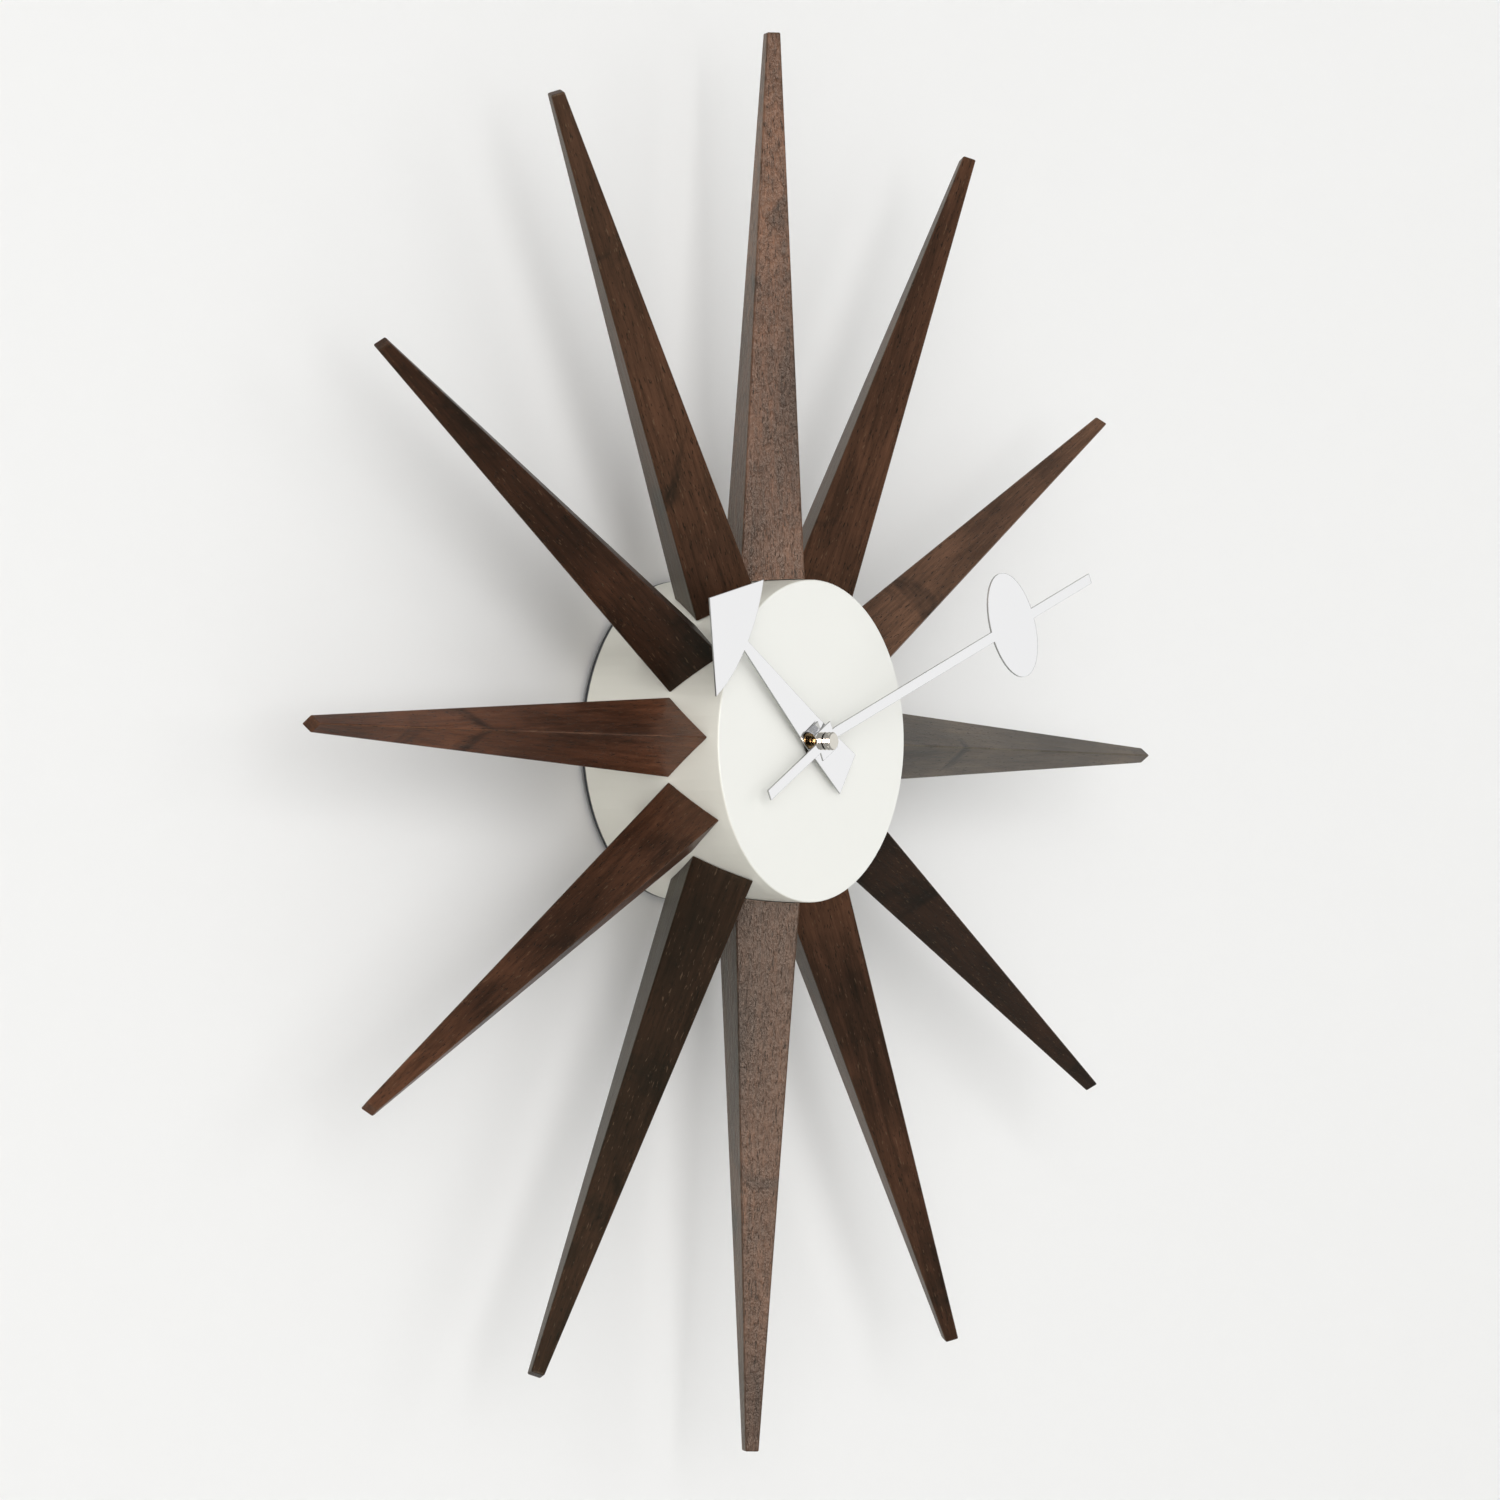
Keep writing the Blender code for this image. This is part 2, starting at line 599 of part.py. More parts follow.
def centre_fixings():
    """The threaded bush that holds the movement to the dial, with its gasket, washer and nut."""
    flange_rear = CASE_FRONT - GAP
    flange_front = flange_rear - 0.6 * MM
    bush_rear = CASE_INNER_FRONT - 0.1 * MM
    profile = [(BUSH_BORE, bush_rear), (BUSH_BORE, BUSH_FRONT), (BUSH_RADIUS, BUSH_FRONT),
               (BUSH_RADIUS, flange_front), (BUSH_FLANGE, flange_front), (BUSH_FLANGE, flange_rear),
               (BUSH_RADIUS, flange_rear), (BUSH_RADIUS, bush_rear)]
    finish(smooth(turned("threaded_bush", profile, 32)), "brass")
    gasket_front = flange_rear - 0.7 * MM
    gasket = ring("rubber_gasket", BUSH_FLANGE + 0.4 * MM, 14 * MM, gasket_front, flange_rear)
    finish(smooth(gasket), "rubber")
    washer_rear = DRUM_FRONT - GAP
    washer_front = washer_rear - 0.35 * MM
    washer = ring("dial_washer", BUSH_RADIUS + GAP, 6 * MM, washer_front, washer_rear)
    finish(smooth(washer), "brass")
    nut_rear = washer_front - 0.15 * MM
    hexagon = circle(4.95 * MM, 6)
    bore = circle(BUSH_RADIUS + GAP, 24)
    finish(extruded("centre_nut", [hexagon, bore], BUSH_FRONT + 0.1 * MM, nut_rear), "brass")


# Hands


def hand_point(along, across, angle):
    """A point on a hand, as (x, z), for a hand that points at an angle from 12 o'clock."""
    a = math.radians(angle)
    return (along * math.sin(a) + across * math.cos(a), along * math.cos(a) - across * math.sin(a))


def lean_forward(hand, angle, fold, lean):
    """Bend the part of a hand beyond its fold line towards the viewer."""
    a = math.radians(angle)
    axis = (math.sin(a), 0, math.cos(a))
    work = bmesh.new()
    work.from_mesh(hand.data)
    everything = work.verts[:] + work.edges[:] + work.faces[:]
    bmesh.ops.bisect_plane(work, geom=everything, dist=1e-7,
                           plane_co=[fold * c for c in axis], plane_no=axis)
    middle = sum(v.co.y for v in work.verts) / len(work.verts)
    for vert in work.verts:
        along = vert.co.x * axis[0] + vert.co.z * axis[2]
        beyond = along - fold
        if beyond > 0:
            tilt = math.radians(lean)
            thick = vert.co.y - middle
            reach = beyond * math.cos(tilt) - thick * math.sin(tilt) * min(1.0, beyond / fold)
            vert.co.x += (reach - beyond) * axis[0]
            vert.co.z += (reach - beyond) * axis[2]
            vert.co.y = middle + thick - beyond * math.sin(tilt)
    work.to_mesh(hand.data)
    work.free()
    return hand


def arc_between(start, end, sagitta, steps):
    """Points on a shallow arc from start to end that bulges to the right by its sagitta."""
    (x0, y0), (x1, y1) = start, end
    points = []
    for step in range(steps + 1):
        t = step / steps
        bulge = 4 * sagitta * t * (1 - t)
        length = math.hypot(x1 - x0, y1 - y0)
        points.append((x0 + (x1 - x0) * t + (y1 - y0) / length * bulge,
                       y0 + (y1 - y0) * t - (x1 - x0) / length * bulge))
    return points


def hour_hand():
    """A long wedge that carries a sail-shaped head with a bowed base."""
    sag = 1.1 * MM
    right = arc_between((HOUR_NECK, HOUR_NECK_HALF), (HOUR_HEAD_BASE, HOUR_HEAD_HALF), -sag, 6)
    left = arc_between((HOUR_HEAD_BASE, -HOUR_HEAD_HALF), (HOUR_NECK, -HOUR_NECK_HALF), -sag, 6)
    tail = [(-HOUR_TAIL, -HOUR_TAIL_HALF), (-HOUR_TAIL, HOUR_TAIL_HALF)]
    outline = tail[1:] + right + [(HOUR_TIP, 0)] + left + tail[:1]
    outline = [hand_point(along, across, HOUR_HAND_ANGLE) for along, across in outline]
    bore = circle(HOUR_TUBE_RADIUS + GAP)
    hand = extruded("hour_hand", [outline, bore], HOUR_HAND_Y - HAND_SHEET / 2,
                    HOUR_HAND_Y + HAND_SHEET / 2)
    lean_forward(hand, HOUR_HAND_ANGLE, HOUR_FOLD, HOUR_HAND_LEAN)
    return finish(hand, "bright_metal")


def minute_hand():
    """A narrow strip with a square hub, a round-ended disc set across it and a forward lean."""
    half = MINUTE_HALF
    hub = MINUTE_HUB_HALF
    start = math.asin(half / DISC_ACROSS)
    sweep = math.pi - 2 * start
    steps = 22

    def disc_side(sign):
        angles = [math.pi - start - sweep * i / steps for i in range(steps + 1)]
        side = [(DISC_CENTRE + DISC_ALONG * math.cos(a), sign * DISC_ACROSS * math.sin(a)) for a in angles]
        return side

    right = [(-MINUTE_TAIL, half), (-hub, half), (-hub, hub), (hub, hub), (hub, half)]
    right += disc_side(1) + [(MINUTE_TIP, half)]
    left = [(along, -across) for along, across in reversed(right)]
    outline = [hand_point(along, across, MINUTE_HAND_ANGLE) for along, across in right + left]
    bore = circle(ARBOR_TIP_RADIUS + GAP)
    low = MINUTE_HAND_Y - HAND_SHEET / 2
    hand = extruded("minute_hand", [outline, bore], low, low + HAND_SHEET)
    lean_forward(hand, MINUTE_HAND_ANGLE, MINUTE_FOLD, MINUTE_HAND_LEAN)
    return finish(hand, "bright_metal")


def cap_nut():
    """The domed nut, with a waist, that holds the minute hand."""
    radius = CAP_RADIUS
    depth = CAP_REAR - CAP_FRONT
    bore = ARBOR_TIP_RADIUS + GAP
    bore_end = ARBOR_FRONT - GAP
    side = [(0.95, 0.0), (1.0, 0.08), (1.0, 0.34), (0.91, 0.42), (0.91, 0.5), (1.0, 0.58), (1.0, 0.78),
            (0.87, 0.93), (0.55, 0.99)]
    profile = [(bore, CAP_REAR)] + [(radius * r, CAP_REAR - depth * d) for r, d in side]
    profile += [(0, CAP_FRONT), (0, bore_end), (bore, bore_end)]
    return finish(smooth(turned("cap_nut", profile, 32)), "chrome")


# Wheels


def minute_arbor():
    """The shaft that carries the minute hand, with the cannon pinion on it."""
    bore_end = ARBOR_REAR - 1.2 * MM
    profile = [(0, ARBOR_FRONT), (ARBOR_TIP_RADIUS, ARBOR_FRONT), (ARBOR_TIP_RADIUS, ARBOR_SHOULDER),
               (ARBOR_RADIUS, ARBOR_SHOULDER), (ARBOR_RADIUS, ARBOR_REAR), (PIVOT_HOLE, ARBOR_REAR),
               (PIVOT_HOLE, bore_end), (0, bore_end)]
    arbor = turned("minute_arbor", profile, 24)
    cannon = [gear(CANNON_TEETH, MOTION_MODULE, 0)]
    fuse(arbor, extruded("cannon_pinion", cannon, -50.9 * MM, -49.3 * MM))
    return finish(smooth(arbor), "brass")


def hour_wheel():
    """The wheel and tube that carry the hour hand."""
    phase = meshing_phase(MOTION_PINION_TEETH, 0, HOUR_WHEEL_TEETH, MOTION_DIRECTION + math.pi)
    rear = -51.2 * MM
    wheel = extruded("hour_wheel", [gear(HOUR_WHEEL_TEETH, MOTION_MODULE, phase)], rear - 1.0 * MM, rear)
    fuse(wheel, cylinder("hour_tube", HOUR_TUBE_RADIUS, HOUR_TUBE_FRONT, rear - 0.3 * MM, 32))
    cut(wheel, cylinder("hour_bore", HOUR_TUBE_BORE, HOUR_TUBE_FRONT - 1 * MM, rear + 1 * MM, 32))
    return finish(smooth(wheel), "brass")


def staff(name, front, rear, pivot_front, pivot_rear, radius=STAFF_RADIUS):
    """A wheel's staff with a thinner pivot at each end."""
    profile = [(0, pivot_front), (PIVOT_RADIUS, pivot_front), (PIVOT_RADIUS, front), (radius, front),
               (radius, rear), (PIVOT_RADIUS, rear), (PIVOT_RADIUS, pivot_rear), (0, pivot_rear)]
    return turned(name, profile, 12)


def motion_phase():
    """Phase of the motion wheel's large gear."""
    return meshing_phase(CANNON_TEETH, 0, MOTION_WHEEL_TEETH, MOTION_DIRECTION)


def motion_wheel():
    """The reduction wheel between the cannon pinion and the hour wheel."""
    wheel = extruded("motion_wheel", [gear(MOTION_WHEEL_TEETH, MOTION_MODULE, motion_phase())],
                     -50.6 * MM, -49.6 * MM)
    pinion = [gear(MOTION_PINION_TEETH, MOTION_MODULE, 0)]
    fuse(wheel, extruded("motion_pinion", pinion, -52.4 * MM, -50.3 * MM))
    fuse(wheel, staff("motion_staff", -52.5 * MM, -48.6 * MM, -53.2 * MM, PLATE_REAR - 0.3 * MM))
    return finish(put(wheel, MOTION_CENTRE), "white_plastic")


def setting_knob():
    """The fluted knob behind the movement, whose pinion turns the motion wheel."""
    phase = meshing_phase(MOTION_WHEEL_TEETH, motion_phase(), KNOB_TEETH, KNOB_DIRECTION)
    flutes = 24
    outline = [polar(KNOB_RADIUS if i % 2 else KNOB_RADIUS - 0.5 * MM, math.tau * i / (2 * flutes))
               for i in range(2 * flutes)]
    knob = extruded("setting_knob", [outline], KNOB_FRONT, KNOB_REAR)
    tip, shoulder, stem_end = -53.2 * MM, -52.5 * MM, KNOB_FRONT + 1 * MM
    stem = [(0, tip), (PIVOT_RADIUS, tip), (PIVOT_RADIUS, shoulder), (KNOB_STEM_RADIUS, shoulder),
            (KNOB_STEM_RADIUS, stem_end), (0, stem_end)]
    fuse(knob, turned("knob_stem", stem, 16))
    pinion = [gear(KNOB_TEETH, MOTION_MODULE, phase)]
    fuse(knob, extruded("knob_pinion", pinion, -50.8 * MM, -49.4 * MM))
    return finish(put(knob, KNOB_CENTRE), "white_plastic")


def centre_wheel():
    """The wheel that drives the minute arbor through a friction fit."""
    phase = meshing_phase(LEAVES, 0, CENTRE_TEETH, THIRD_DIRECTION + math.pi)
    outline = gear(CENTRE_TEETH, CENTRE_MODULE, phase)
    bore = circle(ARBOR_RADIUS + RUNNING)
    return finish(extruded("centre_wheel", [outline, bore], -46.7 * MM, -45.9 * MM), "brass")


def third_wheel():
    """Takes the drive from the seconds pinion to the centre wheel."""
    wheel = extruded("third_wheel", [gear(THIRD_TEETH, THIRD_MODULE, 0)], -45.0 * MM, -44.2 * MM)
    fuse(wheel, extruded("third_pinion", [gear(LEAVES, CENTRE_MODULE, 0)], -46.75 * MM, -44.6 * MM))
    fuse(wheel, staff("third_staff", STAFF_FRONT, STAFF_REAR, PIVOT_FRONT, PIVOT_REAR))
    return finish(put(wheel, THIRD_CENTRE), "white_plastic")


def seconds_wheel():
    """Turns once a minute, on the clock's axis behind the minute arbor."""
    phase = meshing_phase(THIRD_TEETH, 0, LEAVES, THIRD_DIRECTION + math.pi)
    wheel = extruded("seconds_wheel", [gear(SECONDS_TEETH, SECONDS_MODULE, 0)], -43.7 * MM, -42.9 * MM)
    pinion = [gear(LEAVES, THIRD_MODULE, phase)]
    fuse(wheel, extruded("seconds_pinion", pinion, -45.1 * MM, -43.3 * MM))
    fuse(wheel, staff("seconds_staff", -45.15 * MM, STAFF_REAR, -46.3 * MM, PIVOT_REAR))
    return finish(wheel, "white_plastic")


def fifth_wheel():
    """Takes the drive from the rotor to the seconds wheel."""
    phase = meshing_phase(SECONDS_TEETH, 0, LEAVES, FIFTH_DIRECTION)
    wheel = extruded("fifth_wheel", [gear(FIFTH_TEETH, FIFTH_MODULE, 0)], -42.4 * MM, -41.6 * MM)
    fuse(wheel, extruded("fifth_pinion", [gear(LEAVES, SECONDS_MODULE, phase)], -43.9 * MM, -42.0 * MM))
    fuse(wheel, staff("fifth_staff", STAFF_FRONT, STAFF_REAR, PIVOT_FRONT, PIVOT_REAR))
    return finish(put(wheel, FIFTH_CENTRE), "white_plastic")


def rotor():
    """The step motor's magnet, with the pinion that starts the train."""
    phase = meshing_phase(FIFTH_TEETH, 0, LEAVES, ROTOR_DIRECTION)
    body = staff("rotor", STAFF_FRONT, STAFF_REAR, PIVOT_FRONT, PIVOT_REAR)
    fuse(body, cylinder("rotor_magnet", ROTOR_RADIUS, -46.5 * MM, -43.6 * MM, 20))
    fuse(body, extruded("rotor_pinion", [gear(LEAVES, FIFTH_MODULE, phase)], -42.6 * MM, -41.4 * MM))
    return finish(put(body, ROTOR_CENTRE), "steel")


# Motor, circuit and battery


def motor_parts():
    """The stator plate around the rotor, the coil, and the core through the coil."""
    left, right, leg = -24.0 * MM, 8.0 * MM, 3.7 * MM
    top, low_top, bridge, foot = -9.3 * MM, -12.0 * MM, -17.2 * MM, -24.0 * MM
    step = -3.8 * MM
    outline = [(left, top), (step, top), (step, low_top), (right, low_top), (right, foot),
               (right - leg, foot), (right - leg, bridge), (left + leg, bridge), (left + leg, foot),
               (left, foot)]
    hole = [(x + ROTOR_CENTRE[0], z + ROTOR_CENTRE[1]) for x, z in circle(ROTOR_HOLE)]
    finish(extruded("stator", [outline, hole], STATOR_FRONT, STATOR_REAR), "steel")
    flange = 0.8 * MM
    waist = COIL_RADIUS - 0.5 * MM
    bore = 1.5 * MM
    profile = [(bore, COIL_LEFT), (COIL_RADIUS, COIL_LEFT), (COIL_RADIUS, COIL_LEFT + flange),
               (waist, COIL_LEFT + flange), (waist, COIL_RIGHT - flange),
               (COIL_RADIUS, COIL_RIGHT - flange), (COIL_RADIUS, COIL_RIGHT), (bore, COIL_RIGHT)]
    coil = turned("coil", profile, 20)
    lay_across = Matrix.Rotation(-math.pi / 2, 4, "Z")
    coil.data.transform(Matrix.Translation((0, COIL_Y, COIL_Z)) @ lay_across)
    finish(smooth(coil), "copper")
    half = 1.0 * MM
    core_low = (left + 0.5 * MM, COIL_Y - 0.4 * MM, COIL_Z - half)
    core_high = (right - 0.5 * MM, COIL_Y + 0.4 * MM, COIL_Z + half)
    finish(box("coil_core", core_low, core_high), "steel")


def circuit():
    """The circuit board and the quartz crystal that lies on it."""
    finish(box("circuit_board", (-26.2 * MM, -46.7 * MM, 0), (-18.0 * MM, -45.9 * MM, 23 * MM)), "board")
    crystal = cylinder("quartz_crystal", 1.0 * MM, 12 * MM, 18 * MM, 12, PARTS)
    stand_up = Matrix.Rotation(math.pi / 2, 4, "X")
    crystal.data.transform(Matrix.Translation((-22 * MM, -44.55 * MM, 0)) @ stand_up)
    finish(smooth(crystal), "zinc")


def battery_and_contacts():
    """One AA cell, upright in its bay, between a flat contact and a folded spring contact."""
    nub = 2.7 * MM
    edge = 0.6 * MM
    profile = [(0, BATTERY_BOTTOM), (BATTERY_RADIUS - edge, BATTERY_BOTTOM),
               (BATTERY_RADIUS, BATTERY_BOTTOM + edge), (BATTERY_RADIUS, BATTERY_TOP - edge),
               (BATTERY_RADIUS - edge, BATTERY_TOP), (nub, BATTERY_TOP), (nub, BATTERY_NUB_TOP),
               (0, BATTERY_NUB_TOP)]
    cell = turned("battery", profile, 32)
    stand_up = Matrix.Rotation(math.pi / 2, 4, "X")
    cell.data.transform(Matrix.Translation((BATTERY_X, BATTERY_Y, 0)) @ stand_up)
    finish(smooth(cell), "battery_wrap")
    half = 4.0 * MM
    low = (BATTERY_X - half, BATTERY_Y - half, BATTERY_NUB_TOP + GAP)
    high = (BATTERY_X + half, BATTERY_Y + half, BATTERY_NUB_TOP + GAP + 0.4 * MM)
    finish(box("contact_positive", low, high), "zinc")
    outer = BATTERY_BOTTOM - GAP
    floor = -CASE_INNER + GAP
    sheet = 0.3 * MM
    front, rear = BATTERY_Y - 5 * MM, BATTERY_Y + 3 * MM
    leaf = [(front, floor), (rear, floor), (rear, floor + sheet), (front + sheet, floor + sheet),
            (front + sheet, outer - sheet), (rear, outer - sheet), (rear, outer), (front, outer)]
    finish(extruded("contact_negative", [leaf], BATTERY_X - half, BATTERY_X + half, axis="X"), "zinc")


def build():
    """Make every piece of the clock."""
    drum_housing()
    spikes_and_screws()
    hanger_bar()
    movement_front_case()
    gear_plate()
    movement_rear_cover()
    centre_fixings()
    hour_hand()
    minute_hand()
    cap_nut()
    minute_arbor()
    hour_wheel()
    motion_wheel()
    setting_knob()
    centre_wheel()
    third_wheel()
    seconds_wheel()
    fifth_wheel()
    rotor()
    motor_parts()
    circuit()
    battery_and_contacts()


build()
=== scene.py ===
"""Looks for the sunburst wall clock: materials, small details, studio and camera."""

import math
import random

import bpy
from mathutils import Matrix, Vector


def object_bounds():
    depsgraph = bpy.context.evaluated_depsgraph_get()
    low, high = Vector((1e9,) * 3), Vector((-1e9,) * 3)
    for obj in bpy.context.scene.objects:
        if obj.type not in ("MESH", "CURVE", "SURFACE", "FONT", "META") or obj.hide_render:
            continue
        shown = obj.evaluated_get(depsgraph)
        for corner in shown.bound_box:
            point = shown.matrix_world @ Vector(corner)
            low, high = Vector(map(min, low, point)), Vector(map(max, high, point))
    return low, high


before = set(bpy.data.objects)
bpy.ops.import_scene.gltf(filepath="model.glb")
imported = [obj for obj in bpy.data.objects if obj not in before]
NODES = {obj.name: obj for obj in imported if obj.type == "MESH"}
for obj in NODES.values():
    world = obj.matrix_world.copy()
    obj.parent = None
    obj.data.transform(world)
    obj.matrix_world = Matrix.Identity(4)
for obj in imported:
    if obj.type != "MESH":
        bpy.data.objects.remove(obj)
CAD_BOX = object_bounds()
MM = 0.001
HOURS = range(1, 13)


# Node tree helpers


class Tree:
    """A short way to write a material's nodes."""

    def __init__(self, name):
        self.material = bpy.data.materials.new(name)
        self.material.use_nodes = True
        self.nodes = self.material.node_tree.nodes
        self.links = self.material.node_tree.links
        self.shader = self.nodes["Principled BSDF"]
        self.output = self.nodes["Material Output"]

    def add(self, kind, inputs=None, **settings):
        """Add a node, set its settings, and link or fill its inputs."""
        node = self.nodes.new(kind)
        for key, value in settings.items():
            setattr(node, key, value)
        for key, value in (inputs or {}).items():
            self.feed(node, key, value)
        return node

    def feed(self, node, key, value):
        """Link a socket to an input, or write a plain value there."""
        if isinstance(value, bpy.types.NodeSocket):
            self.links.new(value, node.inputs[key])
        else:
            node.inputs[key].default_value = value

    def surface(self, **inputs):
        """Fill inputs of the Principled shader; underscores stand for spaces."""
        for key, value in inputs.items():
            self.feed(self.shader, key.replace("_", " "), value)

    def place(self, rotation=(0, 0, 0), scale=(1, 1, 1)):
        """Object coordinates, turned and stretched."""
        coords = self.add("ShaderNodeTexCoord")
        turned = self.add("ShaderNodeMapping", {"Vector": coords.outputs["Object"], "Rotation": rotation})
        return self.stretch(turned.outputs[0], scale)

    def stretch(self, vector, scale):
        """Coordinates multiplied along each axis; a small factor makes long features."""
        return self.add("ShaderNodeMapping", {"Vector": vector, "Scale": scale}).outputs[0]

    def grey(self, value):
        """A colour whose three channels are one value."""
        return self.add("ShaderNodeCombineColor", {0: value, 1: value, 2: value}).outputs[0]

    def noise(self, vector, scale, detail=3.0, roughness=0.5, distortion=0.0):
        """The value of a noise texture, from 0 to 1."""
        inputs = {"Vector": vector, "Scale": scale, "Detail": detail, "Roughness": roughness,
                  "Distortion": distortion}
        return self.add("ShaderNodeTexNoise", inputs).outputs["Fac"]

    def spread(self, value, low, high, new_low=0.0, new_high=1.0):
        """Map a range of a value to another range, with the ends held."""
        inputs = {"Value": value, "From Min": low, "From Max": high, "To Min": new_low, "To Max": new_high}
        return self.add("ShaderNodeMapRange", inputs).outputs[0]

    def blend(self, factor, first, second, mode="MIX"):
        """Mix two colours."""
        node = self.add("ShaderNodeMix", data_type="RGBA", blend_type=mode)
        for key, value in ((0, factor), (6, first), (7, second)):
            self.feed(node, key, (*value, 1.0) if isinstance(value, tuple) and len(value) == 3 else value)
        return node.outputs[2]

    def maths(self, operation, first, second=0.0):
        """One arithmetic step."""
        return self.add("ShaderNodeMath", {0: first, 1: second}, operation=operation).outputs[0]

    def edges(self, width):
        """1 along sharp edges and 0 elsewhere, from how a bevelled normal differs from the true one."""
        rounded = self.add("ShaderNodeBevel", {"Radius": width}, samples=6).outputs[0]
        sharp = self.add("ShaderNodeNewGeometry").outputs["Normal"]
        same = self.add("ShaderNodeVectorMath", {0: rounded, 1: sharp}, operation="DOT_PRODUCT")
        return self.spread(same.outputs["Value"], 0.80, 0.985, 1.0, 0.0)

    def part(self, vector, axis):
        """One of a vector's three parts, by its axis letter."""
        return self.add("ShaderNodeSeparateXYZ", {0: vector}).outputs[axis]

    def facing_rear(self):
        """How far a surface faces the wall, from -1 on the dial's side to 1."""
        return self.part(self.add("ShaderNodeTexCoord").outputs["Normal"], "Y")

    def flatness(self):
        """1 on a surface parallel to the wall, and 0 on one that stands out from it."""
        return self.maths("ABSOLUTE", self.facing_rear())

    def bump(self, height, strength, distance, below=None):
        """A bump from a height, on top of another bump if one is given."""
        inputs = {"Height": height, "Strength": strength, "Distance": distance}
        if below is not None:
            inputs["Normal"] = below
        return self.add("ShaderNodeBump", inputs).outputs[0]


def wear(node_name, material):
    """Put a material on a CAD node in place of its plain one."""
    NODES[node_name].data.materials.clear()
    NODES[node_name].data.materials.append(material)


# Materials

# The painted shadow of the gap between the drum's rear edge and the wall starts here
SHADOW_GAP_Y = CAD_BOX[1].y - 2.0 * MM
BATTERY_HEIGHTS = [corner[2] for corner in NODES["battery"].bound_box]
BATTERY_ENDS = min(BATTERY_HEIGHTS), max(BATTERY_HEIGHTS)

# How light and how red each spike is against the others, by its hour
SPIKE_TONES = {
    1: (1.85, 0.98),
    2: (2.45, 0.86),
    # The 3 o'clock spike's very light, less red tone is partly its own wood and partly a painted
    # reflection of the pale wall
    3: (4.0, 0.56),
    4: (0.52, 1.05),
    5: (1.45, 1.03),
    6: (1.9, 0.86),
    7: (0.48, 1.03),
    8: (1.5, 1.04),
    9: (1.85, 1.1),
    10: (0.78, 1.1),
    11: (1.1, 1.05),
    12: (2.35, 0.92),
}

# The spikes whose finish has dried rough, with how deep its bumps are and how strongly painted glints
# mottle its tone
RIPPLE = {12: (0.55 * MM, 0.30), 6: (0.45 * MM, 0.22)}

# The spike whose root next to the drum gets painted shade, and where along it that shade fades
SHADED_ROOT_HOUR = 10
ROOT_SHADE_FADE = (60 * MM, 105 * MM)

# Wood colours before a spike's own tone
GRAIN_DARK = (0.0155, 0.0066, 0.0038)
GRAIN_LIGHT = (0.039, 0.0165, 0.0092)
CLOUD = (0.067, 0.0285, 0.0152)
STAIN = (0.0075, 0.0040, 0.0029)
WORN_EDGE = (0.115, 0.062, 0.036)

# Wood colours that are the same on every spike
# Near black of the painted shade at one spike's root, next to the drum
ROOT_SHADE_TONE = (0.0065, 0.0042, 0.0033)
PORE = (0.005, 0.003, 0.002)
FLECK = (0.22, 0.14, 0.085)
# Grey olive of a painted reflection of the pale wall, on spike faces that turn towards it
WALL_REFLECTION_TONE = (0.118, 0.109, 0.074)


def shade_root(tree, straight, figure, tone):
    """Darken the end of a spike that is next to the drum with painted shade, broken up by the wood's
    figure.
    """
    along = tree.part(straight, "Z")
    near = tree.spread(along, *ROOT_SHADE_FADE, 1.0, 0.0)
    root_shade = tree.maths("MULTIPLY", near, tree.spread(figure, 0.3, 0.6, 0.5, 1.0))
    return tree.blend(tree.maths("MULTIPLY", root_shade, 0.9), tone, ROOT_SHADE_TONE)


def rough_finish(tree, along, hour, tone):
    """Mottle a spike's tone with painted light and dark glints of its bumpy sheen, and return it with the
    bump of a finish that has dried rough.
    """
    depth, mottle = RIPPLE[hour]
    dried = tree.noise(tree.stretch(along, (1, 1, 0.5)), 560, 3, 0.7)
    # Painted glints: the sheen of the rough finish is painted into the tone as light and dark dots
    painted_glints = tree.grey(tree.spread(dried, 0.35, 0.65, 1.0 - mottle, 1.0 + mottle))
    return tree.blend(1.0, tone, painted_glints, "MULTIPLY"), tree.bump(dried, 1.0, depth)


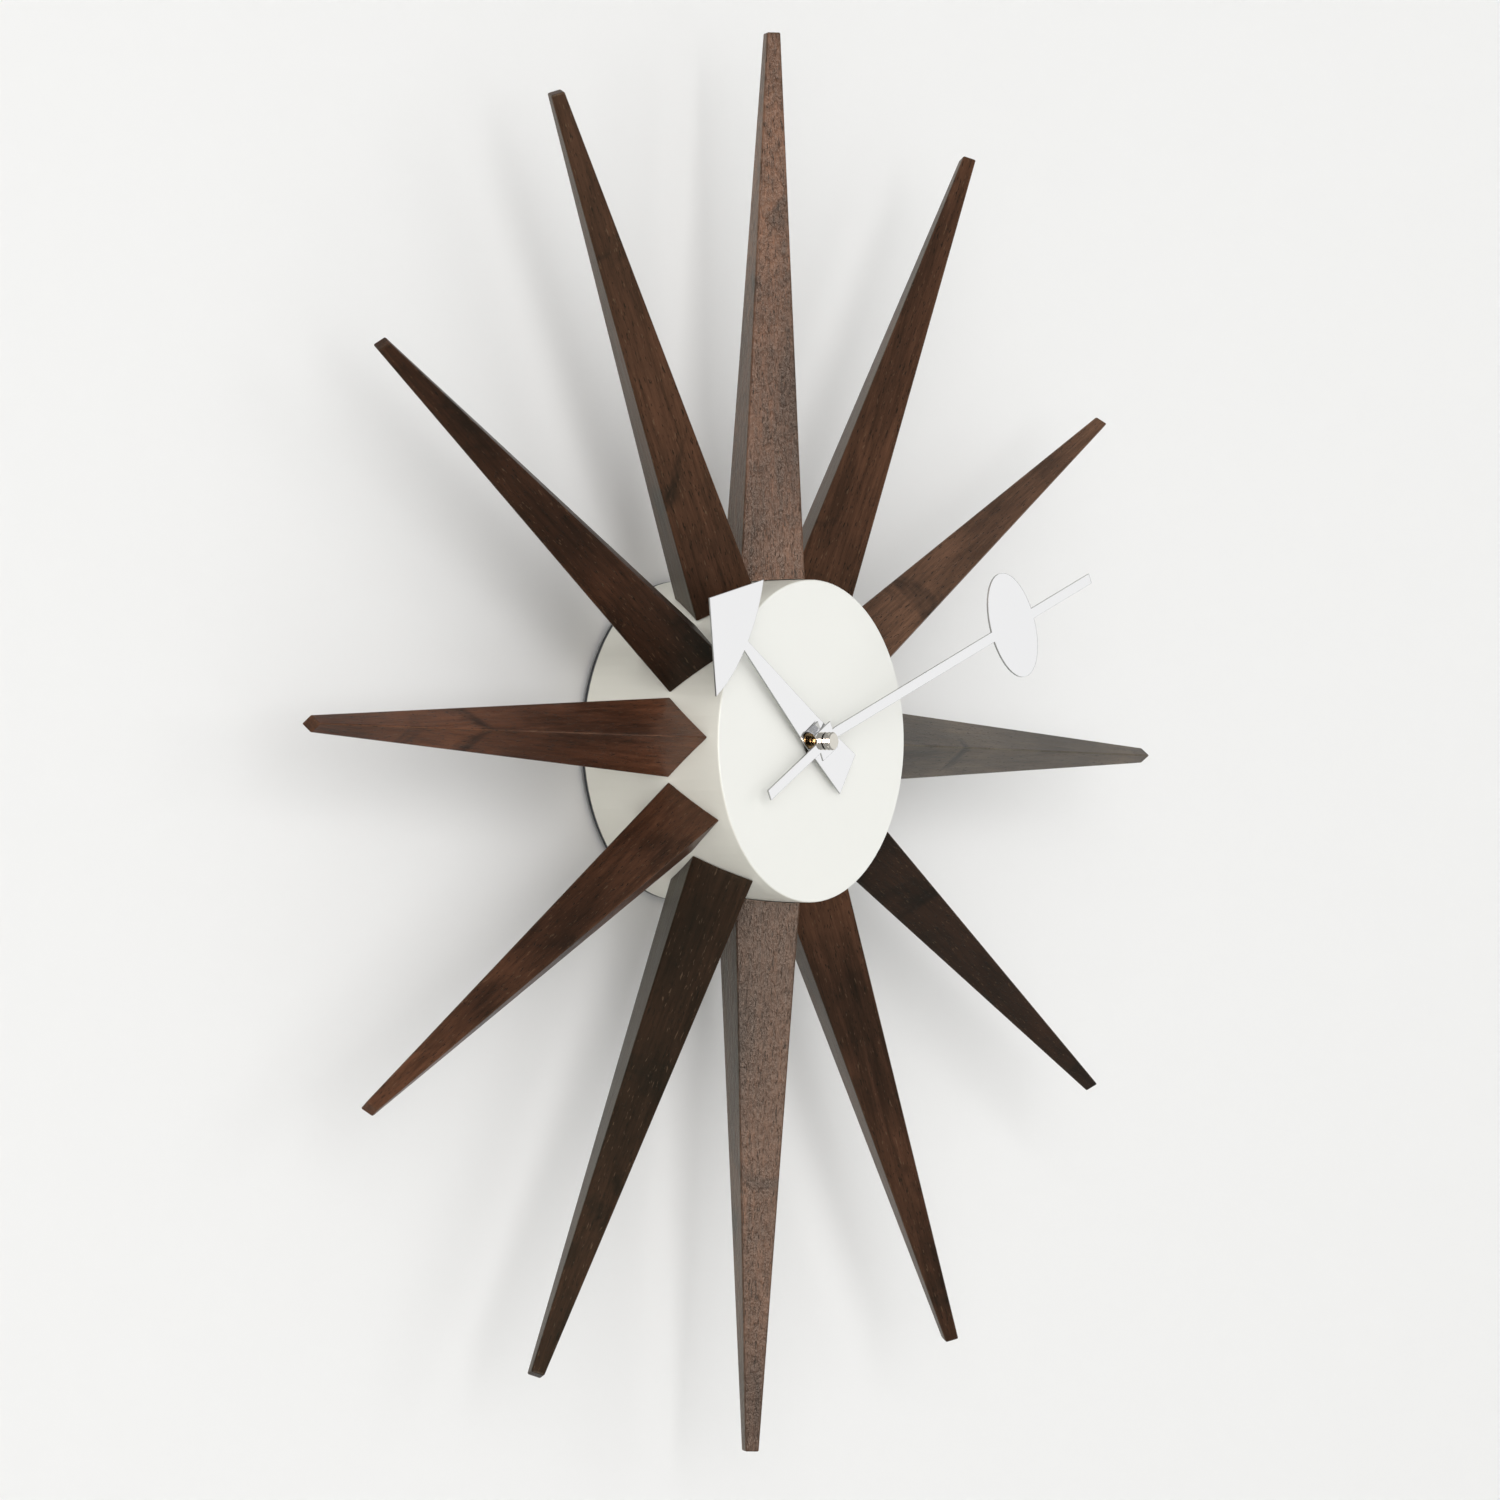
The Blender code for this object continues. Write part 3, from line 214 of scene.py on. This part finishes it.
def walnut(hour):
    """Dark oiled walnut whose grain runs along one spike."""
    pick = random.Random(100 + hour)
    tree = Tree(f"walnut_{hour:02d}")
    straight = tree.place(rotation=(0, -math.tau * hour / 12, 0))
    offset = (pick.uniform(1, 9), pick.uniform(1, 9), pick.uniform(1, 9))
    tilt = (math.radians(pick.uniform(-2.5, 2.5)), math.radians(pick.uniform(-3, 3)), 0)
    moved = {"Vector": straight, "Location": offset, "Rotation": tilt}
    along = tree.add("ShaderNodeMapping", moved).outputs[0]
    short = tree.stretch(along, (1, 1, 0.16))
    figure = tree.noise(tree.stretch(along, (1, 1, 0.14)), 62, 4, 0.55, 0.9)
    fibre = tree.noise(tree.stretch(along, (1, 1, 0.045)), 640, 6, 0.78)
    pores = tree.noise(short, 2100, 2, 0.55)
    dust = tree.noise(short, 2000, 1, 0.5)
    cloud = tree.noise(along, 13, 3, 0.55, 0.4)
    stain = tree.noise(along, 24, 4, 0.6, 1.2)
    light, red = SPIKE_TONES[hour]

    def shade(colour):
        return light * red * colour[0], light * colour[1], light * colour[2] / math.sqrt(red)

    tone = tree.blend(tree.spread(figure, 0.34, 0.66), shade(GRAIN_DARK), shade(GRAIN_LIGHT))
    tone = tree.blend(tree.spread(cloud, 0.40, 0.70, 0.0, 0.85), tone, shade(CLOUD))
    tone = tree.blend(tree.spread(stain, 0.58, 0.72, 0.0, 0.9), tone, shade(STAIN))
    # Painted shade on the root of one spike, where it meets the drum
    if hour == SHADED_ROOT_HOUR:
        tone = shade_root(tree, straight, figure, tone)
    streak = tree.grey(tree.spread(fibre, 0.36, 0.64, 0.62, 1.45))
    tone = tree.blend(1.0, tone, streak, "MULTIPLY")
    pore = tree.spread(pores, 0.61, 0.68)
    tone = tree.blend(tree.maths("MULTIPLY", pore, 0.85), tone, PORE)
    tone = tree.blend(tree.spread(dust, 0.68, 0.74, 0.0, 0.24), tone, FLECK)
    if hour in RIPPLE:
        tone, ripple = rough_finish(tree, along, hour, tone)
        sheen, tint = 0.26, (1.0, 1.0, 0.90, 1.0)
    else:
        ripple = tree.bump(tree.noise(short, 330, 4, 0.65), 1.0, 0.16 * MM)
        sheen, tint = 0.17, (0.92, 1.0, 0.76, 1.0)
    lines = tree.bump(fibre, 0.4, 0.09 * MM, ripple)
    pits = tree.bump(tree.maths("SUBTRACT", 1.0, pore), 0.5, 0.1 * MM, lines)
    patches = tree.spread(tree.noise(short, 260, 3, 0.6), 0.42, 0.62, 0.1, 0.8)
    worn = tree.maths("MULTIPLY", tree.edges(0.7 * MM), patches)
    tone = tree.blend(worn, tone, shade(WORN_EDGE))
    # Painted reflection: faces turned towards the wall are mixed towards grey olive, standing in for the
    # wall's reflection at grazing angles
    tone = tree.blend(tree.spread(tree.facing_rear(), 0.1, 0.4, 0.0, 0.25), tone, WALL_REFLECTION_TONE)
    tree.surface(Base_Color=tone, Roughness=tree.spread(fibre, 0.3, 0.7, 0.33, 0.46), Normal=pits,
                 Specular_IOR_Level=sheen, Specular_Tint=tint)
    return tree.material


def white_paint():
    """Satin warm white paint with a faint orange peel, painted warm bounce light and shade on the drum's
    side, and a painted shadow at its rear edge.
    """
    tree = Tree("white_paint_satin")
    where = tree.place()
    peel = tree.noise(where, 420, 3, 0.5)
    haze = tree.noise(where, 9, 2, 0.5)
    dial = tree.blend(haze, (0.815, 0.817, 0.775), (0.835, 0.837, 0.798))
    # Painted bounce light and shade: the drum's side is painted yellower and a little darker than the
    # dial, standing in for warm light bounced from the walnut spikes
    side = tree.blend(haze, (0.785, 0.772, 0.690), (0.810, 0.797, 0.715))
    tone = tree.blend(tree.spread(tree.flatness(), 0.55, 0.80), side, dial)
    # Painted shadow: the drum's last 2 mm towards the wall is painted near black, standing in for the
    # shadow gap behind its rear edge
    gap_shadow = tree.spread(tree.part(where, "Y"), SHADOW_GAP_Y - 0.2 * MM, SHADOW_GAP_Y + 0.1 * MM)
    tone = tree.blend(gap_shadow, tone, (0.030, 0.034, 0.040))
    tree.surface(Base_Color=tone, Roughness=tree.spread(peel, 0.3, 0.7, 0.42, 0.5),
                 Normal=tree.bump(peel, 0.12, 0.05 * MM))
    return tree.material


def polished(name, colour, low, high, sheared=False):
    """Bright metal with very faint polishing lines, and a darker sheared edge if it is sheet.

    Its roughness runs from low to high, as it does in the finishes below.
    """
    tree = Tree(name)
    lines = tree.noise(tree.place(scale=(1, 1, 0.1)), 700, 3, 0.6)
    patch = tree.noise(tree.place(), 30, 2, 0.5)
    tone = tree.blend(patch, colour, tuple(0.985 * c for c in colour))
    rough = tree.spread(patch, 0.35, 0.65, low, high)
    if sheared:
        side = tree.spread(tree.flatness(), 0.55, 0.75, 1.0, 0.0)
        tone = tree.blend(side, tone, (0.40, 0.405, 0.385))
        tone = tree.blend(tree.maths("MULTIPLY", tree.edges(0.3 * MM), 0.8), tone, (0.17, 0.175, 0.18))
        rough = tree.maths("ADD", rough, tree.maths("MULTIPLY", side, 0.3))
    tree.surface(Base_Color=tone, Metallic=1.0, Roughness=rough, Normal=tree.bump(lines, 0.02, 0.02 * MM))
    return tree.material


def plated(name, colour, low, high):
    """Plated or bare metal with a mottled sheen and fine brush marks."""
    tree = Tree(name)
    mottle = tree.noise(tree.place(), 260, 4, 0.6)
    brush = tree.noise(tree.place(scale=(1, 1, 0.06)), 1500, 3, 0.6)
    tone = tree.blend(tree.spread(mottle, 0.3, 0.7), tuple(0.82 * c for c in colour), colour)
    tree.surface(Base_Color=tone, Metallic=1.0, Roughness=tree.spread(mottle, 0.3, 0.7, low, high),
                 Normal=tree.bump(brush, 0.12, 0.04 * MM))
    return tree.material


def moulded(name, colour, low, high, grain=1800):
    """Moulded plastic with a fine spark-eroded texture."""
    tree = Tree(name)
    texture = tree.noise(tree.place(), grain, 3, 0.6)
    patch = tree.noise(tree.place(), 60, 2, 0.5)
    tone = tree.blend(tree.spread(patch, 0.3, 0.7), tuple(0.92 * c for c in colour), colour)
    tree.surface(Base_Color=tone, Roughness=tree.spread(texture, 0.3, 0.7, low, high),
                 Normal=tree.bump(texture, 0.2, 0.05 * MM))
    return tree.material


def sleeve():
    """A battery's film: a dark band and a light band, with bare steel at both ends."""
    tree = Tree("battery_sleeve")
    where = tree.place()
    height = tree.part(where, "Z")
    grain = tree.noise(where, 900, 2, 0.5)
    low, high = BATTERY_ENDS
    length = high - low
    light = tree.spread(height, low + 0.70 * length, low + 0.705 * length)
    tone = tree.blend(light, (0.028, 0.060, 0.115), (0.55, 0.57, 0.58))
    top = tree.spread(height, high - 1.6 * MM, high - 1.5 * MM)
    foot = tree.spread(height, low + 0.7 * MM, low + 0.8 * MM, 1.0, 0.0)
    steel = tree.maths("MAXIMUM", top, foot)
    tone = tree.blend(steel, tone, (0.60, 0.60, 0.58))
    tree.surface(Base_Color=tone, Metallic=steel, Roughness=tree.spread(grain, 0.3, 0.7, 0.24, 0.34),
                 Normal=tree.bump(grain, 0.05, 0.03 * MM), Coat_Weight=0.3)
    return tree.material


def drop_normals(mesh):
    """Remove a mesh's stored shading normals, so that its flat faces shade flat."""
    mesh.attributes.remove(mesh.attributes["custom_normal"])


def soften_cap():
    """Round the cap nut's corners, which the plating and polishing leave soft."""
    cap = NODES["cap_nut"]
    drop_normals(cap.data)
    for face in cap.data.polygons:
        face.use_smooth = True
    bevel = cap.modifiers.new("soft_corners", "BEVEL")
    bevel.width = 0.9 * MM
    bevel.segments = 4
    bevel.limit_method = "ANGLE"
    bevel.angle_limit = math.radians(32)
    bevel.harden_normals = True


def dress_nodes():
    """Give every CAD node its finish."""
    zinc = plated("zinc_plate", (0.62, 0.62, 0.60), 0.28, 0.42)
    steel = plated("bare_steel", (0.46, 0.46, 0.46), 0.3, 0.45)
    nickel = plated("dark_nickel", (0.15, 0.145, 0.13), 0.15, 0.3)
    aged_brass = plated("aged_brass", (0.33, 0.22, 0.095), 0.22, 0.38)
    brass = plated("brass_turned", (0.72, 0.52, 0.24), 0.2, 0.35)
    black = moulded("black_moulding", (0.022, 0.022, 0.023), 0.42, 0.6)
    white = moulded("white_moulding", (0.78, 0.78, 0.74), 0.36, 0.5)
    hand_sheet = polished("hand_sheet", (0.93, 0.93, 0.94), 0.04, 0.06, sheared=True)
    finishes = {
        "drum_housing": white_paint(),
        "hour_hand": hand_sheet,
        "minute_hand": hand_sheet,
        "cap_nut": polished("cap_chrome", (0.74, 0.71, 0.64), 0.11, 0.17),
        "hanger_bar": zinc,
        "movement_front_case": black,
        "movement_rear_cover": black,
        "gear_plate": white,
        "threaded_bush": aged_brass,
        "dial_washer": nickel,
        "centre_nut": nickel,
        "minute_arbor": aged_brass,
        "hour_wheel": aged_brass,
        "centre_wheel": brass,
        "motion_wheel": white,
        "setting_knob": white,
        "third_wheel": white,
        "seconds_wheel": white,
        "fifth_wheel": white,
        "rotor": steel,
        "stator": steel,
        "coil_core": steel,
        "coil": plated("copper_wire", (0.62, 0.27, 0.13), 0.25, 0.4),
        "rubber_gasket": moulded("black_rubber", (0.025, 0.025, 0.025), 0.7, 0.85, 900),
        "circuit_board": moulded("green_laminate", (0.03, 0.14, 0.06), 0.3, 0.45),
        "quartz_crystal": zinc,
        "contact_positive": zinc,
        "contact_negative": zinc,
        "battery": sleeve(),
    }
    for hour in HOURS:
        finishes[f"spike_{hour:02d}"] = walnut(hour)
        finishes[f"spike_screw_{hour:02d}"] = zinc
    for name, material in finishes.items():
        wear(name, material)
    for name in ("hour_hand", "minute_hand"):
        drop_normals(NODES[name].data)
    soften_cap()


# Studio

# The middle of the clock, which the lights and the camera are set out from
STAGE_AIM = Vector((0, -30 * MM, 0))

# The wall and the floor, in metres
STAGE_COLOUR = (0.86, 0.86, 0.853)
STAGE_SIZE = 12.0
WALL_GAP = 0.4 * MM
FLOOR_REAR = 0.1
FLOOR_HEIGHT = -1.5

# How bright the surroundings are as light, and as the camera sees them
WORLD_LIGHT = 0.41
WORLD_LOOK = 0.80


def one_way(name, colour, roughness):
    """A pale surface that shows only from its front, so that no view is shut out by it."""
    tree = Tree(name)
    grain = tree.noise(tree.place(), 300, 3, 0.5)
    tree.surface(Base_Color=(*colour, 1.0), Roughness=roughness, Specular_IOR_Level=0.2,
                 Normal=tree.bump(grain, 0.04, 0.2 * MM))
    clear = tree.add("ShaderNodeBsdfTransparent")
    side = tree.add("ShaderNodeNewGeometry").outputs["Backfacing"]
    mix = tree.add("ShaderNodeMixShader", {0: side, 1: tree.shader.outputs[0], 2: clear.outputs[0]})
    tree.links.new(mix.outputs[0], tree.output.inputs["Surface"])
    return tree.material


def sheet(name, size, matrix, material):
    """A flat stage surface."""
    half = size / 2
    mesh = bpy.data.meshes.new(name)
    corners = [(-half, -half, 0), (half, -half, 0), (half, half, 0), (-half, half, 0)]
    mesh.from_pydata(corners, [], [(0, 1, 2, 3)])
    plane = bpy.data.objects.new(name, mesh)
    bpy.context.scene.collection.objects.link(plane)
    plane.matrix_world = matrix
    plane.data.materials.append(material)
    return plane


def direction(azimuth, elevation):
    """The unit vector from the clock towards an azimuth and an elevation in degrees."""
    turn, lift = math.radians(azimuth), math.radians(elevation)
    return Vector((math.sin(turn) * math.cos(lift), -math.cos(turn) * math.cos(lift), math.sin(lift)))


def softbox(name, azimuth, elevation, distance, size, brightness, lights=True, shines=True):
    """A square area light that looks at the clock from an azimuth and an elevation.

    Its distance and its side are in metres. One that only lights gives no reflection, and one that
    only shines is seen in reflections alone.
    """
    back = direction(azimuth, elevation)
    data = bpy.data.lights.new(name, "AREA")
    data.shape = "SQUARE"
    data.size = size
    data.energy = math.pi * size * size * brightness
    light = bpy.data.objects.new(name, data)
    bpy.context.scene.collection.objects.link(light)
    light.location = STAGE_AIM + back * distance
    light.rotation_mode = "QUATERNION"
    light.rotation_quaternion = back.to_track_quat("Z", "Y")
    light.visible_camera = False
    light.visible_diffuse = lights
    light.visible_glossy = shines
    return light


def studio():
    """A pale wall behind the clock, a pale floor below it, and soft light."""
    upright = Matrix.Translation((0, WALL_GAP, 0)) @ Matrix.Rotation(math.pi / 2, 4, "X")
    wall = sheet("wall", STAGE_SIZE, upright, one_way("wall_paint", STAGE_COLOUR, 0.8))
    wall.visible_shadow = False
    twice_as_wide = Matrix.Diagonal((2, 1, 1, 1))
    level = Matrix.Translation((0, FLOOR_REAR - STAGE_SIZE / 2, FLOOR_HEIGHT)) @ twice_as_wide
    floor = sheet("floor", STAGE_SIZE, level, one_way("floor_paint", STAGE_COLOUR, 0.7))
    floor.visible_glossy = False
    # Azimuth, elevation, distance, side and brightness of each light
    softbox("key", 38, 14, 3.4, 1.8, 1.32, shines=False)
    softbox("left_key", -38, 8, 9.0, 9.0, 2.66, shines=False)
    softbox("white_card", 40, -3, 2.6, 4.0, 0.51, lights=False)
    camera_fill = softbox("camera_fill", -51, 1, 3.4, 1.6, 19.0, lights=False)
    camera_fill.data.color = (1.0, 0.82, 0.76)
    softbox("rear_fill", 205, 25, 2.5, 1.4, 1.6)
    rear_card = softbox("rear_card", 150, 0, 2.5, 2.2, 2.6, lights=False)
    rear_card.data.color = (0.97, 1.0, 0.92)
    bpy.context.scene.view_settings.view_transform = "Standard"
    studio_world()


def studio_world():
    """A pale surrounding that looks brighter to the camera than the light it gives."""
    world = bpy.data.worlds.new("studio")
    world.use_nodes = True
    tree = world.node_tree
    sky = tree.nodes["Background"]
    sky.inputs["Color"].default_value = (1.0, 1.0, 0.99, 1.0)
    strength = tree.nodes.new("ShaderNodeMapRange")
    strength.inputs["To Min"].default_value = WORLD_LIGHT
    strength.inputs["To Max"].default_value = WORLD_LOOK
    seen = tree.nodes.new("ShaderNodeLightPath").outputs["Is Camera Ray"]
    tree.links.new(seen, strength.inputs["Value"])
    tree.links.new(strength.outputs[0], sky.inputs["Strength"])
    bpy.context.scene.world = world


# Camera

# Angles in degrees, the distance in metres and the lens in millimetres
CAMERA_AZIMUTH = -54.315
CAMERA_ELEVATION = -0.941
CAMERA_ROLL = 0.876
CAMERA_DISTANCE = 2.2517
CAMERA_LENS = 162.88
CAMERA_PAN = 0.0178
CAMERA_TILT = -0.0773


def camera():
    """The photograph's viewpoint."""
    back = direction(CAMERA_AZIMUTH, CAMERA_ELEVATION)
    data = bpy.data.cameras.new("camera")
    data.sensor_width = 36.0
    data.lens = CAMERA_LENS
    data.clip_start = 0.1
    data.clip_end = 60.0
    view = bpy.data.objects.new("camera", data)
    bpy.context.scene.collection.objects.link(view)
    look = (-back).to_track_quat("-Z", "Y").to_matrix().to_4x4()
    roll = Matrix.Rotation(math.radians(CAMERA_ROLL), 4, "Z")
    pan = Matrix.Rotation(math.radians(-CAMERA_PAN), 4, "Y")
    tilt = Matrix.Rotation(math.radians(CAMERA_TILT), 4, "X")
    stand = Matrix.Translation(STAGE_AIM + back * CAMERA_DISTANCE)
    view.matrix_world = stand @ look @ roll @ pan @ tilt
    bpy.context.scene.camera = view


dress_nodes()
studio()
camera()
